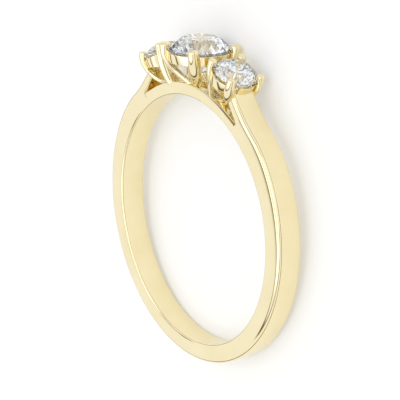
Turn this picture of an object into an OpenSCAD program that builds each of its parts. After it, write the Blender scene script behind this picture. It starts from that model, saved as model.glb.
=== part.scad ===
// Three-stone ring lying on its side: one cast gold mount and three round brilliant stones.
// The ring's own frame has its axis along Z, the stones towards +Y and the nearer side stone at +X.
// The finished part is leaned a few degrees about X, as the ring lies on a table by itself.

/* [Finger hole and band] */
// radius of the finger hole
bore_radius = 8.25; // [7.9:0.05:8.4]
// width of the band along the finger
band_width = 1.76; // [1.6:0.02:2.0]
// radius of the outer round of the band
outer_radius = 9.73; // [9.6:0.01:9.8]
// how far the outer round is moved towards the stones, so that the band is thinnest at the bottom
outer_shift = 0.25; // [0.2:0.01:0.3]
// rounding of the two outer edges
edge_round = 0.30; // [0.15:0.01:0.4]
// rounding of the two edges of the finger hole
bore_round = 0.13; // [0.05:0.01:0.2]
// outer radius of the thin arch that passes under the heads
arch_radius = 9.05; // [8.95:0.01:9.1]

/* [Shoulders] */
// angle from the top where the round begins to bend in towards the shoulder
bend_angle = 59.4; // [58:0.2:60]
// radius of that bend
bend_radius = 7.5; // [7.3:0.1:7.7]
// turn of that bend
bend_turn = 20; // [19:0.5:21]
// radius of the hollow curve that rises to the side head
hollow_radius = 9.3; // [9:0.1:9.6]
// turn of the hollow curve
hollow_turn = 18.7; // [18.3:0.1:19]
// angle from the top of the sharp end of the open slot
slot_angle = 34.8; // [34:0.2:36]
// slope of the slot's upper side, in degrees from level
slot_slope = 56; // [54:1:58]

/* [Centre head] */
// height of the centre prong tips above the ring's centre
centre_height = 11.25; // [11.2:0.01:11.3]
// diameter of the centre stone
centre_stone_d = 4.0; // [3.9:0.02:4.06]
// radius of the circle that the four prong tips stand on
centre_prong_circle = 2.32; // [2.26:0.01:2.36]
// radius of a centre prong's tip
centre_prong_r = 0.37; // [0.34:0.01:0.4]
// depth of the centre gallery's upper edge below the prong tips
centre_gallery_top = 0.16; // [0.14:0.01:0.2]
// depth of its lower edge
centre_gallery_low = 0.82; // [0.75:0.01:0.9]
// height of the centre stone's girdle above the middle of the prong tips
centre_girdle = -0.04; // [-0.05:0.01:0]
// crown height of the centre stone as a share of its diameter
centre_crown_share = 0.18; // [0.15:0.005:0.185]

/* [Side heads] */
// distance of a side head from the middle plane, at its prong tips
side_x = 3.96; // [3.92:0.01:4]
// height of the side prong tips above the ring's centre
side_height = 10.53; // [10.5:0.01:10.56]
// lean of a side head away from the middle
side_lean = 24.3; // [23:0.1:25]
// diameter of a side stone
side_stone_d = 2.8; // [2.7:0.02:2.84]
// radius of the circle that the four prong tips stand on
side_prong_circle = 1.58; // [1.54:0.01:1.62]
// radius of a side prong's tip
side_prong_r = 0.285; // [0.26:0.005:0.3]
// depth of a side gallery's upper edge below the prong tips
side_gallery_top = 0.40; // [0.38:0.01:0.44]
// depth of its lower edge in the middle
side_gallery_low = 1.08; // [1.02:0.01:1.12]
// slant of its lower edge, which is deeper towards the centre head
side_gallery_slant = 11; // [8:0.5:13]
// height of a side stone's girdle above the middle of the prong tips
side_girdle = -0.14; // [-0.16:0.01:-0.1]
// crown height of a side stone as a share of its diameter
side_crown_share = 0.16; // [0.14:0.005:0.17]

/* [Stones] */
// width of the table as a share of the diameter
table_share = 0.575; // [0.53:0.005:0.62]
// pavilion depth as a share of the diameter
pavilion_share = 0.43; // [0.41:0.005:0.44]
// girdle thickness as a share of the diameter
girdle_share = 0.03; // [0.02:0.005:0.035]
// clearance between a stone and the metal
stone_gap = 0.03; // [0.02:0.005:0.04]

/* [Hidden] */
$fn = 96;
half = band_width / 2;
// Sides of the bent wires, and smooth rows made from each row of a prong table.
wire_sides = 12;
wire_steps = 2;
// Straight steps in the rounding of an outer edge of the band.
corner_steps = 6;
// Rounding of a prong's tip as a share of its radius.
tip_share = 0.62;
// Length of a cut that goes right through the ring.
through = 6;
// How far the slot's space reaches from its sharp end, into the finger hole and past the shoulder.
slot_inward = 2.2;
slot_outward = 3.6;
// A gallery's section: its upper rim is narrow and stands out a little, and it draws in below.
centre_gallery_lip = 0.13;
side_gallery_lip = 0.24;
gallery_flare = 0.03;
gallery_taper = 0.06;
centre_gallery_wall = 0.45;
side_gallery_wall = 0.38;
// Where a brilliant's star facets end between table and girdle, and its lower halves towards the point.
star_share = 0.42;
lower_share = 0.24;

// Lean at rest: the line that touches the lowest prong tip and the bottom edge of the band.
tip_c = centre_prong_circle * sin(45);
tip_rise = 0.12;
tip_inset = 0.04;
tip_y = centre_height + tip_rise;
tip_z = tip_c - tip_inset;
foot_y = -(outer_radius - edge_round) + outer_shift;
foot_z = half - edge_round;
span = norm([tip_y - foot_y, tip_z - foot_z]);
rest_lean = atan2(tip_z - foot_z, tip_y - foot_y) + asin((centre_prong_r - edge_round) / span);

// Centres of the round, of the right bend and of the right hollow curve.
round_centre = [0, outer_shift];
bend_centre = round_centre + (outer_radius - bend_radius) * bearing(bend_angle);
hollow_angle = bend_angle - bend_turn;
hollow_centre = bend_centre + (bend_radius + hollow_radius) * bearing(hollow_angle);
slot_tip = arch_radius * bearing(slot_angle);
// Depth of the outer strip, which reaches into the arch's ring but not to the finger hole.
strip = 1.05;

// Prong tables, from the tip down. Columns: outward, height, towards the front, and two half thicknesses
// on the diagonals of the head. The broad side of a prong faces away from its stone.
// Heights are measured from the middle of the prong tips. Centre and outer prongs: thickness, then width.
centre_rows = [
    [tip_c - tip_inset, tip_rise, tip_c - tip_inset, centre_prong_r, centre_prong_r],
    [tip_c - 0.02, -0.30, tip_c - 0.07, centre_prong_r - 0.02, centre_prong_r + 0.01],
    [tip_c - 0.07, -0.75, tip_c - 0.18, 0.27, 0.40],
    [1.38, -1.22, 1.27, 0.235, 0.38],
    [1.06, -1.59, 1.02, 0.22, 0.33],
    [0.70, -1.92, 0.78, 0.20, 0.27],
    [0.36, -2.15, 0.60, 0.19, 0.22],
    [0.00, -2.30, 0.50, 0.18, 0.20]
];
tip_s = side_prong_circle * sin(45);
outer_rows = [
    [tip_s - 0.03, 0.09, tip_s - 0.02, side_prong_r, side_prong_r],
    [tip_s + 0.02, -0.28, tip_s + 0.01, side_prong_r - 0.025, side_prong_r + 0.025],
    [tip_s + 0.04, -0.62, tip_s - 0.02, 0.21, 0.35],
    [1.10, -0.98, 1.02, 0.19, 0.32],
    [0.97, -1.37, 0.86, 0.18, 0.24],
    [0.74, -1.73, 0.67, 0.17, 0.20],
    [0.48, -1.95, 0.56, 0.16, 0.18],
    [0.20, -2.09, 0.52, 0.15, 0.17],
    [-0.10, -2.25, 0.50, 0.15, 0.16],
    [-0.40, -2.45, 0.48, 0.14, 0.15]
];
// Inner prongs: width, then thickness.
inner_rows = [
    [-tip_s + 0.03, 0.09, tip_s - 0.02, side_prong_r, side_prong_r],
    [-tip_s + 0.03, -0.35, tip_s, side_prong_r + 0.025, side_prong_r - 0.025],
    [-1.02, -0.80, 1.08, 0.34, 0.21],
    [-0.92, -1.25, 1.00, 0.33, 0.19],
    [-0.84, -1.75, 0.88, 0.30, 0.18],
    [-0.80, -2.20, 0.74, 0.26, 0.17],
    [-0.83, -2.60, 0.62, 0.20, 0.16]
];

// Direction at an angle from the top, towards the right.
function bearing(a) = [sin(a), cos(a)];
function unit(v) = v / norm(v);
// Value between b and c of a smooth curve through the rows a, b, c and d.
function between(a, b, c, d, t) =
    0.5 * (2 * b + (c - a) * t + (2 * a - 5 * b + 4 * c - d) * t * t + (3 * b - a - 3 * c + d) * t * t * t);
// The rows of a table with steps - 1 smooth rows put between each two.
function smooth(rows, steps) =
    let (n = len(rows) - 1)
    [for (i = [0 : n - 1]) for (k = [0 : steps - 1])
        between(rows[max(i - 1, 0)], rows[i], rows[i + 1], rows[min(i + 2, n)], k / steps), rows[n]];
function place(row) = [row[0], row[1], row[2]];
// Rounded end at row 0: rows that step outwards along the wire while the thickness falls.
function domed(rows, corner) =
    let (p = place(rows[0]), out = unit(p - place(rows[1])))
    [for (a = [75, 50, 25])
        let (q = p + out * corner * sin(a), less = corner * (1 - cos(a)))
        [q[0], q[1], q[2], rows[0][3] - less, rows[0][4] - less]];
function flipped(rows) = [for (r = rows) [-r[0], r[1], r[2], r[3], r[4]]];

// Bent wire of oval section through the rows, with flat ends.
module wire(rows) {
    n = len(rows);
    ends = [for (i = [0 : n - 1]) unit(place(rows[min(i + 1, n - 1)]) - place(rows[max(i - 1, 0)]))];
    points = [for (i = [0 : n - 1])
        let (side = unit(cross(ends[i], [0, 0, 1])), across = cross(ends[i], side))
        for (k = [0 : wire_sides - 1])
            let (a = 360 * k / wire_sides)
            place(rows[i])
                + rows[i][3] * cos(a) * unit(side + across)
                + rows[i][4] * sin(a) * unit(across - side)];
    walls = [for (i = [0 : n - 2]) for (k = [0 : wire_sides - 1])
        let (a = i * wire_sides + k, b = i * wire_sides + (k + 1) % wire_sides)
        for (t = [[a, b + wire_sides, b], [a, a + wire_sides, b + wire_sides]]) t];
    first = [for (k = [0 : wire_sides - 1]) k];
    last = [for (k = [wire_sides - 1 : -1 : 0]) (n - 1) * wire_sides + k];
    polyhedron(points, concat(walls, [first, last]), convexity = 6);
}

// Both prongs of one face of the centre head, joined in a low curve on the arch.
module centre_pair() {
    run = smooth(centre_rows, wire_steps);
    right = concat(domed(run, centre_prong_r * tip_share), run);
    left = flipped(right);
    wire(concat(right, [for (i = [len(left) - 2 : -1 : 0]) left[i]]));
}

module side_prongs() {
    outer = smooth(outer_rows, wire_steps);
    wire(concat(domed(outer, side_prong_r * tip_share), outer));
    inner = smooth(inner_rows, wire_steps);
    wire(concat(domed(inner, side_prong_r * tip_share), inner));
}

// Low ring under the girdle that carries the stone between its prongs, for a stone of diameter d.
module gallery(d, top, low, lip, wall) {
    rotate([-90, 0, 0])
        rotate_extrude()
            polygon([
                [d / 2 - lip, -top],
                [d / 2 + gallery_flare, -top],
                [d / 2 - gallery_taper, -low],
                [d / 2 - wall, -low]
            ]);
}

// Gallery of a side head: its lower edge is cut on a slant.
module side_gallery() {
    reach = side_stone_d;
    drop = reach * tan(side_gallery_slant);
    difference() {
        gallery(
            side_stone_d, side_gallery_top, side_gallery_low + drop / 2,
            side_gallery_lip, side_gallery_wall);
        linear_extrude(through, center = true)
            polygon([
                [-reach, -side_gallery_low - drop],
                [reach, -side_gallery_low + drop],
                [reach, -side_gallery_low - 2 * drop],
                [-reach, -side_gallery_low - 2 * drop]
            ]);
    }
}

// Room for a stone with its clearance, as a turned solid. The girdle's middle is at the given height.
// It is measured square to the slanted pavilion, so downwards it is more at the point than at the girdle.
module seat(d, girdle, crown_share) {
    r = d / 2;
    point_gap = 1.5 * stone_gap;
    edge_gap = 0.6 * stone_gap;
    rise = girdle + d * girdle_share / 2;
    drop = girdle - d * girdle_share / 2;
    rotate([-90, 0, 0])
        rotate_extrude()
            polygon([
                [0, drop - d * pavilion_share - point_gap],
                [r + stone_gap, drop - edge_gap],
                [r + stone_gap, rise + edge_gap],
                [d * table_share / 2 + stone_gap, rise + d * crown_share + stone_gap],
                [0, rise + d * crown_share + stone_gap]
            ]);
}

// A ring of n points of radius r at the given height, turned by a part of a step.
function level(n, r, h, turn) =
    [for (k = [0 : n - 1]) let (a = 360 * (k + turn) / n) [r * cos(a), h, r * sin(a)]];

// Round brilliant: table, 8 stars, 8 kites, 16 upper halves, girdle, 16 lower halves and 8 mains.
module brilliant(d, girdle, crown_share) {
    r = d / 2;
    rise = girdle + d * girdle_share / 2;
    drop = girdle - d * girdle_share / 2;
    top = rise + d * crown_share;
    culet = drop - d * pavilion_share;
    table_r = d * table_share / 2;
    star_r = table_r + star_share * (r - table_r);
    star_h = top + (star_r * cos(22.5) - table_r) * (rise - top) / (r - table_r);
    low_r = lower_share * r;
    low_h = culet + low_r * cos(22.5) * (drop - culet) / r;
    points = concat(
        level(8, table_r, top, 0),
        level(8, star_r, star_h, 0.5),
        level(16, r, rise, 0),
        level(16, r, drop, 0),
        level(8, low_r, low_h, 0.5),
        [[0, culet, 0]]
    );
    table = [[for (k = [0 : 7]) k]];
    stars = [for (k = [0 : 7]) [k, 8 + k, (k + 1) % 8]];
    kites = [for (k = [0 : 7]) for (t = [[k, 8 + (k + 7) % 8, 16 + 2 * k], [k, 16 + 2 * k, 8 + k]]) t];
    uppers = [for (k = [0 : 7]) for (t = [
        [8 + k, 16 + 2 * k, 17 + 2 * k],
        [8 + k, 17 + 2 * k, 16 + (2 * k + 2) % 16]]) t];
    belt = [for (k = [0 : 15]) let (m = (k + 1) % 16) [16 + k, 32 + k, 32 + m, 16 + m]];
    lowers = [for (k = [0 : 7]) for (t = [
        [48 + k, 33 + 2 * k, 32 + 2 * k],
        [48 + k, 32 + (2 * k + 2) % 16, 33 + 2 * k]]) t];
    mains = [for (k = [0 : 7]) for (t = [[56, 32 + 2 * k, 48 + (k + 7) % 8], [56, 48 + k, 32 + 2 * k]]) t];
    polyhedron(points, concat(table, stars, kites, uppers, belt, lowers, mains), convexity = 2);
}

// Rounded corner of a section from one angle down to another, as short straight steps.
function corner(x, y, first, last) =
    [for (k = [0 : corner_steps])
        let (a = first + (last - first) * k / corner_steps)
        [x + edge_round * cos(a), y + edge_round * sin(a)]];

// Section of the outer strip, rounded at its two outer edges, with its outer side at the given radius.
module strip_section(radius) {
    polygon(concat(
        [[radius - strip, -half], [radius - strip, half]],
        corner(radius - edge_round, half - edge_round, 90, 0),
        corner(radius - edge_round, edge_round - half, 0, -90)
    ));
}

// Outer strip of the main round, open at the top between the two bends.
module outer_round() {
    translate(round_centre)
        rotate([0, 0, 90 + bend_angle])
            rotate_extrude(angle = 360 - 2 * bend_angle, $fn = 180)
                strip_section(outer_radius);
}

// Stretch where the strip bends in, between the round and the right hollow curve.
module bend() {
    translate(bend_centre)
        rotate([0, 0, 90 - bend_angle])
            rotate_extrude(angle = bend_turn, $fn = 360)
                strip_section(bend_radius);
}

// Arm in a hollow curve that rises to the right side head, with the open slot on its inner side.
module shoulder() {
    difference() {
        translate(hollow_centre)
            rotate([0, 0, 270 - hollow_angle - hollow_turn])
                rotate_extrude(angle = hollow_turn, $fn = 360)
                    translate([hollow_radius + strip, 0])
                        mirror([1, 0])
                            strip_section(strip);
        slot_space();
    }
}

// Open space between the arch and the right shoulder, ending below in a sharp slot.
module slot_space() {
    along = [-cos(slot_slope), sin(slot_slope)];
    low = slot_tip - slot_inward * along;
    high = slot_tip + slot_outward * along;
    linear_extrude(through, center = true)
        polygon([low, high, [0, high[1]], [0, low[1]]]);
}

// Inner ring of the band with the finger hole. Its top is the thin arch under the heads.
module arch_ring() {
    rotate_extrude($fn = 180)
        difference() {
            translate([bore_radius, -half])
                square([arch_radius - bore_radius, band_width]);
            for (s = [-1, 1])
                translate([bore_radius + bore_round, s * (half - bore_round)])
                    bore_corner(s);
        }
}

// Corner that the rounding takes off an edge of the finger hole.
module bore_corner(s) {
    reach = 1;
    difference() {
        translate([-bore_round - reach, s > 0 ? 0 : -reach])
            square([bore_round + reach, reach]);
        circle(r = bore_round, $fn = 48);
    }
}

// Puts a piece of a side head in its place: s is 0 for the right one and 1 for the left.
module at_side(s) {
    mirror([s, 0, 0])
        translate([side_x, side_height, 0])
            rotate([0, 0, -side_lean])
                children();
}

module at_centre() {
    translate([0, centre_height, 0])
        children();
}

module both_faces() {
    for (m = [0, 1])
        mirror([0, 0, m])
            children();
}

// Four prongs and a gallery ring, with room for the stone.
module centre_head() {
    at_centre()
        difference() {
            union() {
                both_faces()
                    centre_pair();
                gallery(
                    centre_stone_d, centre_gallery_top, centre_gallery_low,
                    centre_gallery_lip, centre_gallery_wall);
            }
            seat(centre_stone_d, centre_girdle, centre_crown_share);
        }
}

// One shoulder with the side head that it carries.
module side_arm(s) {
    mirror([s, 0, 0])
        difference() {
            union() {
                bend();
                shoulder();
                at_side(0) {
                    both_faces()
                        side_prongs();
                    side_gallery();
                }
            }
            at_side(0)
                seat(side_stone_d, side_girdle, side_crown_share);
        }
}

module lying() {
    rotate([rest_lean, 0, 0])
        children();
}

module ring_mount() {
    color("goldenrod")
        lying() {
            arch_ring();
            outer_round();
            side_arm(0);
            side_arm(1);
            centre_head();
        }
}

module centre_stone() {
    color("white")
        lying()
            at_centre()
                brilliant(centre_stone_d, centre_girdle, centre_crown_share);
}

module right_stone() {
    color("lightcyan")
        lying()
            at_side(0)
                brilliant(side_stone_d, side_girdle, side_crown_share);
}

module left_stone() {
    color("lavender")
        lying()
            at_side(1)
                brilliant(side_stone_d, side_girdle, side_crown_share);
}

ring_mount();
centre_stone();
right_stone();
left_stone();
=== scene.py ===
import math

import bmesh
import bpy
from mathutils import Matrix, Vector


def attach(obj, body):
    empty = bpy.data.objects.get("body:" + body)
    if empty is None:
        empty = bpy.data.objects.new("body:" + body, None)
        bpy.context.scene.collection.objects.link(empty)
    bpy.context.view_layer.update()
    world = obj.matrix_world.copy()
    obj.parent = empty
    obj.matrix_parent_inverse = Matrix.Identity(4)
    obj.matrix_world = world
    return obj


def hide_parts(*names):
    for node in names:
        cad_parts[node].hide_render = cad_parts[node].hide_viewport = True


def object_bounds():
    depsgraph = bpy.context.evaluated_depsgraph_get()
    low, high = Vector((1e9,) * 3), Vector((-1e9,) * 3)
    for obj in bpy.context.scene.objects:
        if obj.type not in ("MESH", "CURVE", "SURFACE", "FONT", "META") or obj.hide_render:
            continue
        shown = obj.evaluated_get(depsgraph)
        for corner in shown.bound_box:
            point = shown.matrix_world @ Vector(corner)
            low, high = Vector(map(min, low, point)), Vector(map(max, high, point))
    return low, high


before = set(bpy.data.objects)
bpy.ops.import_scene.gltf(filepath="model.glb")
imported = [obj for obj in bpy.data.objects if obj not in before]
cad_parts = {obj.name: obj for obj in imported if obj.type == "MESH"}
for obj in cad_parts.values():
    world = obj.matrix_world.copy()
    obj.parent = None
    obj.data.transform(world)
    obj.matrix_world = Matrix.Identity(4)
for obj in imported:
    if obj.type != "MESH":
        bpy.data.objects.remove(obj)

cad_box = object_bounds()
scene = bpy.context.scene
MM = 0.001

# Sizes in millimetres, in the ring's own frame: its axis is Z, and the stones are towards +Y.
# Angles are in degrees, from +Y towards +X.
BORE_RADIUS = 8.25
BAND_WIDTH = 1.76
HALF_WIDTH = BAND_WIDTH / 2
OUTER_RADIUS = 9.73
OUTER_SHIFT = 0.25
EDGE_ROUND = 0.30
BORE_ROUND = 0.13
ARCH_RADIUS = 9.05
BOTTOM_ANGLE = 180
BEND_ANGLE = 59.4
BEND_RADIUS = 7.5
BEND_TURN = 20
HOLLOW_RADIUS = 9.3
HOLLOW_TURN = 18.7
SLOT_ANGLE = 34.8
SLOT_SLOPE = 56
CENTRE_HEIGHT = 11.25
CENTRE_PRONG_CIRCLE = 2.32
CENTRE_PRONG_RADIUS = 0.37
SIDE_X = 3.96
SIDE_HEIGHT = 10.53
SIDE_LEAN = 24.3
SIDE_PRONG_CIRCLE = 1.58
SIDE_PRONG_RADIUS = 0.285

# Small roundings. On the arch and the slot they fade towards the slot's end, and a corner's rounding
# takes at most a share of each side.
FINE_ROUND = 0.06
FINE_FADE = 6
CORNER_LIMIT = 0.45

# A prong's tip: the share of its thickness that the dome rounds off, the dome's angles, and the point
# in its middle.
TIP_SHARE = 0.62
DOME_TOP = 84
DOME_FOOT = 6
TIP_POINT = 0.012

# Edges that turn by more than this stay sharp.
SHARP_ANGLE = 38

# Fineness: steps along or round each curve, rounds of the two searches, and the distances below which
# points are joined and edges dropped.
ROUND_STEPS = 160
BEND_STEPS = 30
HOLLOW_STEPS = 16
STRUT_STEPS = 30
ARCH_STEPS = 90
OUTER_EDGE_STEPS = 9
BORE_EDGE_STEPS = 5
FINE_EDGE_STEPS = 4
WIRE_SIDES = 28
WIRE_STEPS = 7
DOME_STEPS = 13
CORNER_STEPS = 5
TURN_SIDES = 112
HALVINGS = 50
CUT_ROUNDS = 4
WELD = 0.0004
SLIVER = 0.0001

# Stones. Columns: diameter, height of the girdle's middle, and the crown's share of the diameter.
CENTRE_STONE = (4.0, -0.04, 0.18)
SIDE_STONE = (2.8, -0.14, 0.16)
TABLE_SHARE = 0.575
PAVILION_SHARE = 0.43
GIRDLE_SHARE = 0.03
STONE_GAP = 0.03
SEAT_POINT_GAP = 1.5 * STONE_GAP
SEAT_EDGE_GAP = 0.6 * STONE_GAP

# Galleries. Columns: depth of the top edge and of the lower edge, inner wall inwards from the
# stone's edge at the top and at the lowest point, and slant of the lower edge.
CENTRE_GALLERY = (0.16, 0.82, 0.13, 0.45, 0)
SIDE_GALLERY = (0.40, 1.08, 0.24, 0.38, 11)
GALLERY_OUT_AT_TOP = 0.03
GALLERY_IN_AT_LOWEST = 0.06

# Prongs: bent wires through the same rows as the solids, from the tip down.
# Columns: outward, height, towards the front, and two half thicknesses on the diagonals of the head.
DIAGONAL = math.sin(math.radians(45))
CENTRE_TIP = CENTRE_PRONG_CIRCLE * DIAGONAL
TIP_RISE = 0.12
TIP_INSET = 0.04
CENTRE_ROWS = [
    (CENTRE_TIP - TIP_INSET, TIP_RISE, CENTRE_TIP - TIP_INSET, CENTRE_PRONG_RADIUS, CENTRE_PRONG_RADIUS),
    (CENTRE_TIP - 0.02, -0.30, CENTRE_TIP - 0.07, CENTRE_PRONG_RADIUS - 0.02, CENTRE_PRONG_RADIUS + 0.01),
    (CENTRE_TIP - 0.07, -0.75, CENTRE_TIP - 0.18, 0.27, 0.40),
    (1.38, -1.22, 1.27, 0.235, 0.38),
    (1.06, -1.59, 1.02, 0.22, 0.33),
    (0.70, -1.92, 0.78, 0.20, 0.27),
    (0.36, -2.15, 0.60, 0.19, 0.22),
    (0.00, -2.30, 0.50, 0.18, 0.20),
]
SIDE_TIP = SIDE_PRONG_CIRCLE * DIAGONAL
OUTER_ROWS = [
    (SIDE_TIP - 0.03, 0.09, SIDE_TIP - 0.02, SIDE_PRONG_RADIUS, SIDE_PRONG_RADIUS),
    (SIDE_TIP + 0.02, -0.28, SIDE_TIP + 0.01, SIDE_PRONG_RADIUS - 0.025, SIDE_PRONG_RADIUS + 0.025),
    (SIDE_TIP + 0.04, -0.62, SIDE_TIP - 0.02, 0.21, 0.35),
    (1.10, -0.98, 1.02, 0.19, 0.32),
    (0.97, -1.37, 0.86, 0.18, 0.24),
    (0.74, -1.73, 0.67, 0.17, 0.20),
    (0.48, -1.95, 0.56, 0.16, 0.18),
    (0.20, -2.09, 0.52, 0.15, 0.17),
    (-0.10, -2.25, 0.50, 0.15, 0.16),
    (-0.40, -2.45, 0.48, 0.14, 0.15),
]
INNER_ROWS = [
    (-SIDE_TIP + 0.03, 0.09, SIDE_TIP - 0.02, SIDE_PRONG_RADIUS, SIDE_PRONG_RADIUS),
    (-SIDE_TIP + 0.03, -0.35, SIDE_TIP, SIDE_PRONG_RADIUS + 0.025, SIDE_PRONG_RADIUS - 0.025),
    (-1.02, -0.80, 1.08, 0.34, 0.21),
    (-0.92, -1.25, 1.00, 0.33, 0.19),
    (-0.84, -1.75, 0.88, 0.30, 0.18),
    (-0.80, -2.20, 0.74, 0.26, 0.17),
    (-0.83, -2.60, 0.62, 0.20, 0.16),
]

# The ring lies on the two lower centre prongs' tips and on the lower edge of the band.
TIP_Y = CENTRE_HEIGHT + TIP_RISE
TIP_Z = CENTRE_TIP - TIP_INSET
FOOT_Y = -(OUTER_RADIUS - EDGE_ROUND) + OUTER_SHIFT
FOOT_Z = HALF_WIDTH - EDGE_ROUND
SPAN = math.hypot(TIP_Y - FOOT_Y, TIP_Z - FOOT_Z)
SPAN_LEAN = math.atan2(TIP_Z - FOOT_Z, TIP_Y - FOOT_Y)
REST_LEAN = SPAN_LEAN + math.asin((CENTRE_PRONG_RADIUS - EDGE_ROUND) / SPAN)
LYING = Matrix.Rotation(REST_LEAN, 4, "X")
TO_SCENE = LYING @ Matrix.Scale(MM, 4)


def bearing(degrees):
    """The direction at an angle about the ring."""
    a = math.radians(degrees)
    return Vector((math.sin(a), math.cos(a)))


def steps(first, last, count):
    return [first + (last - first) * k / count for k in range(count + 1)]


def new_object(name, data):
    made = bpy.data.objects.new(name, data)
    scene.collection.objects.link(made)
    return made


def mesh_from(name, bm):
    """A mesh from an edited one, which is freed."""
    mesh = bpy.data.meshes.new(name)
    bm.to_mesh(mesh)
    bm.free()
    return mesh


# Camera, fitted to the photo: millimetres and directions in the ring's frame.
CAMERA_PLACE = Vector((80.488, 31.078, 54.912))
CAMERA_RIGHT = Vector((0.5637, -0.0005, -0.8260))
CAMERA_UP = Vector((-0.2415, 0.9562, -0.1655))
CAMERA_SENSOR = 36
CAMERA_LENS = 141.1
CAMERA_NEAREST = 5


def make_camera():
    """The photo's camera, leaned with the ring."""
    back = CAMERA_RIGHT.cross(CAMERA_UP).normalized()
    up = back.cross(CAMERA_RIGHT).normalized()
    turn = Matrix((CAMERA_RIGHT.normalized(), up, back)).transposed().to_4x4()
    data = bpy.data.cameras.new("camera")
    data.sensor_width = CAMERA_SENSOR
    data.lens = CAMERA_LENS
    data.clip_start = CAMERA_NEAREST * MM
    camera = new_object("camera", data)
    camera.matrix_world = LYING @ Matrix.Translation(CAMERA_PLACE * MM) @ turn
    scene.camera = camera


make_camera()


# Parts of materials and of the room.
def noise(tree, scale, detail, roughness=0.5):
    """The strength of a soft noise over the object. A bigger scale makes it finer."""
    where = tree.nodes.new("ShaderNodeTexCoord")
    made = tree.nodes.new("ShaderNodeTexNoise")
    made.inputs["Scale"].default_value = scale
    made.inputs["Detail"].default_value = detail
    made.inputs["Roughness"].default_value = roughness
    tree.links.new(where.outputs["Object"], made.inputs["Vector"])
    return made.outputs["Fac"]


def stretched(tree, value, start, end, low=0, high=1):
    """A value whose range from start to end is stretched to the range from low to high."""
    made = tree.nodes.new("ShaderNodeMapRange")
    made.inputs["From Min"].default_value = start
    made.inputs["From Max"].default_value = end
    made.inputs["To Min"].default_value = low
    made.inputs["To Max"].default_value = high
    tree.links.new(value, made.inputs["Value"])
    return made.outputs["Result"]


def ramp(tree, strength, stops):
    """The colour that a strength has between stops, each of which is a strength and a colour."""
    made = tree.nodes.new("ShaderNodeValToRGB")
    elements = made.color_ramp.elements
    while len(elements) < len(stops):
        elements.new(0.5)
    for element, (place, colour) in zip(elements, stops):
        element.position = place
        element.color = (*colour, 1)
    tree.links.new(strength, made.inputs["Fac"])
    return made.outputs["Color"]


def new_material(name):
    material = bpy.data.materials.new(name)
    material.use_nodes = True
    tree = material.node_tree
    return material, tree, tree.nodes["Principled BSDF"]


# Materials.
DEEP_GOLD = (0.875, 0.765, 0.47)
LIGHT_GOLD = (0.90, 0.797, 0.51)
# The stones' tint, by the strength of a noise: the blue at the lowest stop is painted fire, flashes of split
# light painted into the colour, and the rest is a faint bluish white.
DIAMOND_TINT_AND_PAINTED_FIRE = (
    (0.31, (0.35, 0.65, 0.95)),
    (0.35, (0.90, 0.95, 1.00)),
    (0.42, (0.97, 0.99, 1.00)),
    (0.58, (0.92, 0.93, 0.99)),
    (0.68, (0.95, 0.98, 1.00)),
)
DIAMOND_REFRACTION = 2.42
FLOOR_TINTS = ((0.3, (0.65, 0.645, 0.625)), (0.7, (0.67, 0.665, 0.645)))
WHITE = (1, 1, 1, 1)


def gold_material():
    """Polished gold, slightly uneven in tone and polish."""
    material, tree, shader = new_material("gold")
    shader.inputs["Metallic"].default_value = 1
    cloud = noise(tree, scale=420.0, detail=3.0, roughness=0.55)
    tone = ramp(tree, cloud, ((0.35, DEEP_GOLD), (0.65, LIGHT_GOLD)))
    tree.links.new(tone, shader.inputs["Base Color"])
    fine = noise(tree, scale=2600.0, detail=4.0, roughness=0.6)
    rough = stretched(tree, fine, 0, 1, low=0.03, high=0.09)
    tree.links.new(rough, shader.inputs["Roughness"])
    bump = tree.nodes.new("ShaderNodeBump")
    bump.inputs["Strength"].default_value = 0.02
    bump.inputs["Distance"].default_value = 0.01 * MM
    tree.links.new(noise(tree, scale=5200.0, detail=2.0), bump.inputs["Height"])
    tree.links.new(bump.outputs["Normal"], shader.inputs["Normal"])
    return material


def diamond_material(name, scale, clear):
    """Clear stone in a faint bluish white, with painted fire: blue patches painted into its colour stand in
    for flashes of split light.
    """
    material, tree, shader = new_material(name)
    shader.inputs["Transmission Weight"].default_value = clear
    shader.inputs["IOR"].default_value = DIAMOND_REFRACTION
    shader.inputs["Roughness"].default_value = 0
    # The tint carries painted fire: blue noise patches in the base colour stand in for flashes of split
    # light.
    tint_and_painted_fire = ramp(tree, noise(tree, scale, detail=2.0), DIAMOND_TINT_AND_PAINTED_FIRE)
    tree.links.new(tint_and_painted_fire, shader.inputs["Base Color"])
    return material


def floor_material():
    """Matt white that glows a little, like a light table."""
    material, tree, shader = new_material("floor")
    tone = ramp(tree, noise(tree, scale=30.0, detail=2.0), FLOOR_TINTS)
    tree.links.new(tone, shader.inputs["Base Color"])
    shader.inputs["Roughness"].default_value = 0.9
    shader.inputs["Specular IOR Level"].default_value = 0.1
    shader.inputs["Emission Color"].default_value = WHITE
    shader.inputs["Emission Strength"].default_value = 0.30
    return material


# Band: stations along the outer path, from the bottom of the ring up to the right side head.
ROUND_CENTRE = Vector((0, OUTER_SHIFT))
BEND_CENTRE = ROUND_CENTRE + (OUTER_RADIUS - BEND_RADIUS) * bearing(BEND_ANGLE)
HOLLOW_ANGLE = BEND_ANGLE - BEND_TURN
HOLLOW_CENTRE = BEND_CENTRE + (BEND_RADIUS + HOLLOW_RADIUS) * bearing(HOLLOW_ANGLE)
SLOT_TIP = ARCH_RADIUS * bearing(SLOT_ANGLE)
SLOT_ALONG = Vector((-math.cos(math.radians(SLOT_SLOPE)), math.sin(math.radians(SLOT_SLOPE))))
SLOT_INWARD = Vector((SLOT_ALONG.y, -SLOT_ALONG.x))


def round_point(centre, radius, angle):
    """A point of a round stretch of the outer path and its normal."""
    normal = bearing(angle)
    return centre + radius * normal, normal


def hollow_point(turn):
    """A point of the hollow stretch below the side head and its normal."""
    normal = bearing(HOLLOW_ANGLE + turn)
    return HOLLOW_CENTRE - HOLLOW_RADIUS * normal, normal


def polar(point):
    return math.degrees(math.atan2(point.x, point.y))


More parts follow.
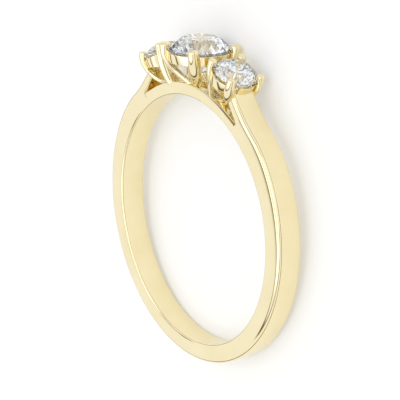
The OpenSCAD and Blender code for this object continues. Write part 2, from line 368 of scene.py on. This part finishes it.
def turn_at_slot():
    """Turn of the hollow curve at which its flat face passes the sharp end of the slot."""
    low = 0.0
    high = HOLLOW_TURN
    for _ in range(HALVINGS):
        middle = (low + high) / 2
        point, normal = hollow_point(middle)
        if polar(point - EDGE_ROUND * normal) > SLOT_ANGLE:
            low = middle
        else:
            high = middle
    return low


def slot_reach():
    """Length of the slot's side on the shoulder, up to the line across the end of the hollow curve."""
    end, normal = hollow_point(HOLLOW_TURN)
    gap = end - SLOT_TIP
    return gap.dot(SLOT_ALONG) - normal.dot(SLOT_ALONG) * gap.dot(SLOT_INWARD) / normal.dot(SLOT_INWARD)


SLOT_TURN = turn_at_slot()
SLOT_REACH = slot_reach()


def body_path():
    """Points and normals of the outer path from the bottom up to the slot."""
    arc = steps(BOTTOM_ANGLE, BEND_ANGLE, ROUND_STEPS)
    path = [round_point(ROUND_CENTRE, OUTER_RADIUS, a) for a in arc]
    bend = steps(BEND_ANGLE, HOLLOW_ANGLE, BEND_STEPS)
    path += [round_point(BEND_CENTRE, BEND_RADIUS, a) for a in bend[1:]]
    path += [hollow_point(turn) for turn in steps(0, SLOT_TURN, HOLLOW_STEPS)[1:]]
    return path


def at(flat, z):
    return Vector((flat.x, flat.y, z))


def wall(corner, inward, size, count, first_face):
    """A wall with its two rounded edges, from the face first_face, which is 1 or -1, to the other.

    The wall passes through corner, and inward leads from it into the metal.
    """
    made = []
    for face, angles in ((first_face, steps(90, 0, count)), (-first_face, steps(0, 90, count))):
        for a in angles:
            out = size * (1 - math.cos(math.radians(a)))
            down = size * (1 - math.sin(math.radians(a)))
            made.append(at(corner + inward * out, face * (HALF_WIDTH - down)))
    return made


def outer_side(point, normal):
    """The outer wall, from the front face to the back face."""
    return wall(point, -normal, EDGE_ROUND, OUTER_EDGE_STEPS, 1)


def bore_side(direction):
    """The finger hole's wall, from the back face to the front face."""
    return wall(BORE_RADIUS * direction, direction, BORE_ROUND, BORE_EDGE_STEPS, -1)


def crisp(share):
    """Small rounding of the arch's and the slot's edges, which runs out at the sharp end of the slot."""
    return FINE_ROUND * min(1.0, share * FINE_FADE)


def body_section(point, normal):
    direction = bearing(polar(point - EDGE_ROUND * normal))
    middle = ARCH_RADIUS * direction
    outer = [at(middle, HALF_WIDTH)] + outer_side(point, normal) + [at(middle, -HALF_WIDTH)]
    return outer + bore_side(direction)


def arch_section(angle):
    direction = bearing(angle)
    size = crisp((SLOT_ANGLE - abs(angle)) / SLOT_ANGLE)
    return wall(ARCH_RADIUS * direction, -direction, size, FINE_EDGE_STEPS, 1) + bore_side(direction)


def strut_section(share):
    point, normal = hollow_point(SLOT_TURN + (HOLLOW_TURN - SLOT_TURN) * share)
    inner = SLOT_TIP + SLOT_ALONG * SLOT_REACH * share
    return outer_side(point, normal) + wall(inner, SLOT_INWARD, crisp(share), FINE_EDGE_STEPS, -1)


def on_side(section, side):
    """The section on the right side for 1 and on the left side for -1."""
    return [Vector((side * point.x, point.y, point.z)) for point in section]


def join_rows(bm, low, high):
    """Faces between two closed rows of points."""
    count = len(low)
    for k in range(count):
        m = (k + 1) % count
        bm.faces.new((low[k], low[m], high[m], high[k]))


def loft(bm, sections, cap_end=False):
    rows = [[bm.verts.new(point) for point in section] for section in sections]
    for low, high in zip(rows, rows[1:]):
        join_rows(bm, low, high)
    if cap_end:
        bm.faces.new(rows[-1])


def band_mesh():
    bm = bmesh.new()
    for side in (1, -1):
        loft(bm, [on_side(body_section(*station), side) for station in body_path()])
        strut = [on_side(strut_section(share), side) for share in steps(0, 1, STRUT_STEPS)]
        loft(bm, strut, cap_end=True)
    loft(bm, [arch_section(angle) for angle in steps(-SLOT_ANGLE, SLOT_ANGLE, ARCH_STEPS)])
    bmesh.ops.remove_doubles(bm, verts=bm.verts, dist=WELD)
    bmesh.ops.dissolve_degenerate(bm, edges=bm.edges, dist=SLIVER)
    bmesh.ops.recalc_face_normals(bm, faces=bm.faces)
    return bm


# Heads: a head's own axis is Y, and its galleries and seats are turned about it.
def between(a, b, c, d, t):
    """The row at a share t of the way from b to c, on a smooth curve through all four rows."""
    made = []
    for p, q, r, s in zip(a, b, c, d):
        square = (2 * p - 5 * q + 4 * r - s) * t * t
        cube = (3 * q - p - 3 * r + s) * t * t * t
        made.append(0.5 * (2 * q + (r - p) * t + square + cube))
    return tuple(made)


def smooth_rows(rows):
    last = len(rows) - 1
    made = []
    for i in range(last):
        near = (rows[max(i - 1, 0)], rows[i], rows[i + 1], rows[min(i + 2, last)])
        made += [between(*near, k / WIRE_STEPS) for k in range(WIRE_STEPS)]
    return made + [rows[last]]


def prong_run(table):
    """The rows of a prong with its domed tip in front."""
    rows = smooth_rows(table)
    first = Vector(rows[0][:3])
    out = (first - Vector(rows[1][:3])).normalized()
    corner = rows[0][3] * TIP_SHARE
    dome = []
    for a in steps(DOME_TOP, DOME_FOOT, DOME_STEPS):
        top = first + out * corner * math.sin(math.radians(a))
        less = corner * (1 - math.cos(math.radians(a)))
        dome.append((*top, rows[0][3] - less, rows[0][4] - less))
    return dome + rows


def joined_run(table):
    """The rows of a prong and of its mirror image, which share their lowest row."""
    half = prong_run(table)
    other = [(-row[0], *row[1:]) for row in half]
    return half + other[-2::-1]


def wire(bm, rows, tips, place):
    """A bent wire of oval section. It has one or two tips, which end in a slightly raised point."""
    points = [Vector(row[:3]) for row in rows]
    last = len(rows) - 1
    rings = []
    for i, row in enumerate(rows):
        along = (points[min(i + 1, last)] - points[max(i - 1, 0)]).normalized()
        side = along.cross(Vector((0, 0, 1))).normalized()
        across = along.cross(side)
        first = (side + across).normalized()
        second = (across - side).normalized()
        ring = []
        for k in range(WIRE_SIDES):
            a = 2 * math.pi * k / WIRE_SIDES
            spot = points[i] + row[3] * math.cos(a) * first + row[4] * math.sin(a) * second
            ring.append(bm.verts.new(place @ spot))
        rings.append(ring)
    for low, high in zip(rings, rings[1:]):
        join_rows(bm, low, high)
    for number, (end, neighbour) in enumerate(((0, 1), (last, last - 1))):
        ring = rings[end]
        if number >= tips:
            bm.faces.new(ring)
            continue
        raised = points[end] + (points[end] - points[neighbour]).normalized() * TIP_POINT
        middle = bm.verts.new(place @ raised)
        for k in range(WIRE_SIDES):
            bm.faces.new((ring[k], ring[(k + 1) % WIRE_SIDES], middle))


def rounded_profile(corners):
    """The corners of a closed outline, each replaced by a short arc-like curve."""
    made = []
    count = len(corners)
    for i, corner in enumerate(corners):
        corner = Vector(corner)
        before = Vector(corners[i - 1]) - corner
        after = Vector(corners[(i + 1) % count]) - corner
        reach = min(FINE_ROUND, before.length * CORNER_LIMIT, after.length * CORNER_LIMIT)
        start = corner + before.normalized() * reach
        end = corner + after.normalized() * reach
        for t in steps(0, 1, CORNER_STEPS):
            made.append(start * (1 - t) ** 2 + corner * 2 * t * (1 - t) + end * t * t)
    return made


def gallery_profile(diameter, top, low, lip, foot, slant):
    """Outline of a gallery for the cosine of an angle about the head. Its lower edge may lie on a slant."""
    radius = diameter / 2
    steep = math.tan(math.radians(slant))
    lowest = low + radius * steep
    outer = (radius + GALLERY_OUT_AT_TOP, radius - GALLERY_IN_AT_LOWEST)
    inner = (radius - lip, radius - foot)

    def cut(line, cosine):
        """Where a wall, given by its radii at the top and at the lowest point, meets the lower edge."""
        share = 1.0
        for _ in range(CUT_ROUNDS):
            out = line[0] + (line[1] - line[0]) * share
            share = min(1.0, (low - out * cosine * steep - top) / (lowest - top))
        return out, -top - share * (lowest - top)

    def profile_at(cosine):
        return rounded_profile([(inner[0], -top), (outer[0], -top), cut(outer, cosine), cut(inner, cosine)])

    return profile_at


def seat_profile(diameter, girdle, crown_share):
    """Outline of the room that a stone needs, from its lower point up to the table."""
    radius = diameter / 2
    rise = girdle + diameter * GIRDLE_SHARE / 2
    drop = girdle - diameter * GIRDLE_SHARE / 2
    table = rise + diameter * crown_share + STONE_GAP
    return [
        (0.0, drop - diameter * PAVILION_SHARE - SEAT_POINT_GAP),
        (radius + STONE_GAP, drop - SEAT_EDGE_GAP),
        (radius + STONE_GAP, rise + SEAT_EDGE_GAP),
        (diameter * TABLE_SHARE / 2 + STONE_GAP, table),
        (0.0, table),
    ]


def spun(bm, profile_at, place):
    """Rows of points of an outline of radius and height, turned about the head's axis."""
    rows = []
    for k in range(TURN_SIDES):
        a = 2 * math.pi * k / TURN_SIDES
        side = math.cos(a)
        front = math.sin(a)
        rows.append([bm.verts.new(place @ Vector((r * side, h, r * front))) for r, h in profile_at(side)])
    return rows


def turned_ring(profile_at, place):
    """A closed outline, turned."""
    bm = bmesh.new()
    rows = spun(bm, profile_at, place)
    for k in range(TURN_SIDES):
        join_rows(bm, rows[k], rows[(k + 1) % TURN_SIDES])
    return bm


def turned_solid(profile, place):
    """An outline whose first and last points lie on the axis, turned."""
    bm = bmesh.new()
    first = bm.verts.new(place @ Vector((0, profile[0][1], 0)))
    final = bm.verts.new(place @ Vector((0, profile[-1][1], 0)))
    rows = spun(bm, lambda cosine: profile[1:-1], place)
    for k in range(TURN_SIDES):
        low = rows[k]
        high = rows[(k + 1) % TURN_SIDES]
        bm.faces.new((first, low[0], high[0]))
        bm.faces.new((final, high[-1], low[-1]))
        for i in range(len(low) - 1):
            bm.faces.new((low[i], low[i + 1], high[i + 1], high[i]))
    return bm


def closed_object(name, bm):
    bmesh.ops.recalc_face_normals(bm, faces=bm.faces)
    return new_object(name, mesh_from(name, bm))


def less_seat(name, bm, seat):
    """The mesh of a piece with the stone's seat cut out of it."""
    piece = closed_object(name, bm)
    cut = piece.modifiers.new("seat", "BOOLEAN")
    cut.operation = "DIFFERENCE"
    cut.solver = "EXACT"
    cut.object = seat
    bpy.context.view_layer.update()
    graph = bpy.context.evaluated_depsgraph_get()
    mesh = bpy.data.meshes.new_from_object(piece.evaluated_get(graph))
    bpy.data.objects.remove(piece)
    return mesh


# A head's prongs on its front face, each with its number of tips. They repeat behind.
CENTRE_PRONGS = ((joined_run(CENTRE_ROWS), 2),)
SIDE_PRONGS = ((prong_run(OUTER_ROWS), 1), (prong_run(INNER_ROWS), 1))
FACES = (Matrix.Identity(4), Matrix.Scale(-1, 4, (0, 0, 1)))
CENTRE_PLACE = Matrix.Translation((0, CENTRE_HEIGHT, 0))
SIDE_PLACE = Matrix.Translation((SIDE_X, SIDE_HEIGHT, 0)) @ Matrix.Rotation(-math.radians(SIDE_LEAN), 4, "Z")
MIRROR = Matrix.Scale(-1, 4, (1, 0, 0))
HEADS = (
    ("centre", CENTRE_PLACE, CENTRE_STONE, CENTRE_GALLERY, CENTRE_PRONGS),
    ("right", SIDE_PLACE, SIDE_STONE, SIDE_GALLERY, SIDE_PRONGS),
    ("left", MIRROR @ SIDE_PLACE, SIDE_STONE, SIDE_GALLERY, SIDE_PRONGS),
)


def head_meshes(name, place, stone, gallery, prongs):
    """Every prong and the gallery of a head as closed meshes in the ring's frame, with the seat cut."""
    seat = closed_object(f"{name}_seat", turned_solid(seat_profile(*stone), place))
    made = []
    for face in FACES:
        for rows, tips in prongs:
            bm = bmesh.new()
            wire(bm, rows, tips, place @ face)
            made.append(less_seat(f"{name}_prong_{len(made)}", bm, seat))
    ring = turned_ring(gallery_profile(stone[0], *gallery), place)
    made.append(less_seat(f"{name}_gallery", ring, seat))
    bpy.data.objects.remove(seat)
    return made


def build_mount():
    """The whole mount as one mesh, smooth where it curves and sharp at its cut edges."""
    bm = band_mesh()
    for head in HEADS:
        for mesh in head_meshes(*head):
            bm.from_mesh(mesh)
    bmesh.ops.transform(bm, matrix=TO_SCENE, verts=bm.verts)
    mesh = mesh_from("mount", bm)
    mesh.materials.append(gold_material())
    mesh.polygons.foreach_set("use_smooth", [True] * len(mesh.polygons))
    mesh.set_sharp_from_angle(angle=math.radians(SHARP_ANGLE))
    mount = new_object("mount", mesh)
    even = mount.modifiers.new("even normals", "WEIGHTED_NORMAL")
    even.keep_sharp = True
    return mount


mount = build_mount()
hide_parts("ring_mount")
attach(mount, "root")


# Stones keep their solids and get their materials.
def dress_stones(names, material):
    for name in names:
        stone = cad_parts[name].data
        stone.materials.clear()
        stone.materials.append(material)
        stone.polygons.foreach_set("use_smooth", [False] * len(stone.polygons))


dress_stones(("centre_stone",), diamond_material("centre_diamond", scale=1700.0, clear=0.95))
dress_stones(("right_stone", "left_stone"), diamond_material("side_diamond", scale=2500.0, clear=0.97))

# Studio: a plain pale floor, a bright room and a soft lamp, in metres.
FLOOR_HALF = 0.6
FLOOR_Z = cad_box[0][2]
WALL = (0.545, 0.552, 0.575)
DARK = (0.11, 0.105, 0.11)
BROWN = (0.095, 0.068, 0.026)
GLOW = (1.06, 1.06, 1.06)

# Level bands of the room, which blend over the gaps between them.
# Columns: lowest and highest place, from 0 straight down to 1 straight up, and colour.
STONES_SIDE = (
    (0.0, 0.495, WALL),
    (0.50, 0.54, DARK),
    (0.58, 0.85, WALL),
    (0.865, 0.905, DARK),
    (0.925, 0.96, GLOW),
    (0.975, 1.0, WALL),
)
BAND_SIDE = (
    (0.0, 0.495, WALL),
    (0.50, 0.56, BROWN),
    (0.60, 0.80, WALL),
    (0.815, 0.84, BROWN),
    (0.86, 0.905, WALL),
    (0.925, 0.96, GLOW),
    (0.975, 1.0, WALL),
)

# The two sides blend where the direction's part towards the stones, from -1 to 1, is between these.
SIDES_MEET = (0.15, 0.35)
ROOM_STRENGTH = 1.90

# Sockets of a Mix node that mixes colours.
MIX_FIRST = 6
MIX_SECOND = 7
MIX_RESULT = 2


def make_floor():
    bm = bmesh.new()
    bmesh.ops.create_grid(bm, x_segments=1, y_segments=1, size=FLOOR_HALF)
    floor = new_object("floor", mesh_from("floor", bm))
    floor.location = (0, 0, FLOOR_Z)
    floor.data.materials.append(floor_material())


def banded(tree, height, bands):
    return ramp(tree, height, [(edge, colour) for low, high, colour in bands for edge in (low, high)])


def make_room():
    """A room in level bands, whose dark bands draw the ring's edges where it mirrors them."""
    world = bpy.data.worlds.new("room")
    world.use_nodes = True
    scene.world = world
    tree = world.node_tree
    where = tree.nodes.new("ShaderNodeTexCoord")
    split = tree.nodes.new("ShaderNodeSeparateXYZ")
    tree.links.new(where.outputs["Generated"], split.inputs["Vector"])
    height = stretched(tree, split.outputs["Z"], -1, 1)
    mix = tree.nodes.new("ShaderNodeMix")
    mix.data_type = "RGBA"
    tree.links.new(stretched(tree, split.outputs["Y"], *SIDES_MEET), mix.inputs["Factor"])
    tree.links.new(banded(tree, height, BAND_SIDE), mix.inputs[MIX_FIRST])
    tree.links.new(banded(tree, height, STONES_SIDE), mix.inputs[MIX_SECOND])
    background = tree.nodes["Background"]
    background.inputs["Strength"].default_value = ROOM_STRENGTH
    tree.links.new(mix.outputs[MIX_RESULT], background.inputs["Color"])


def make_lamp(name, place, size, power):
    """A square lamp that looks at the middle of the ring."""
    data = bpy.data.lights.new(name, "AREA")
    data.shape = "SQUARE"
    data.size = size
    data.energy = power
    lamp = new_object(name, data)
    lamp.location = place
    lamp.rotation_euler = (-Vector(place)).to_track_quat("-Z", "Y").to_euler()


make_floor()
make_room()
make_lamp("key", place=(0.20, 0.10, 0.30), size=0.30, power=0.10)
scene.view_settings.view_transform = "Standard"

# Light crosses many facets inside the stones and many walls inside the heads.
scene.cycles.max_bounces = 24
scene.cycles.glossy_bounces = 12
scene.cycles.transmission_bounces = 16
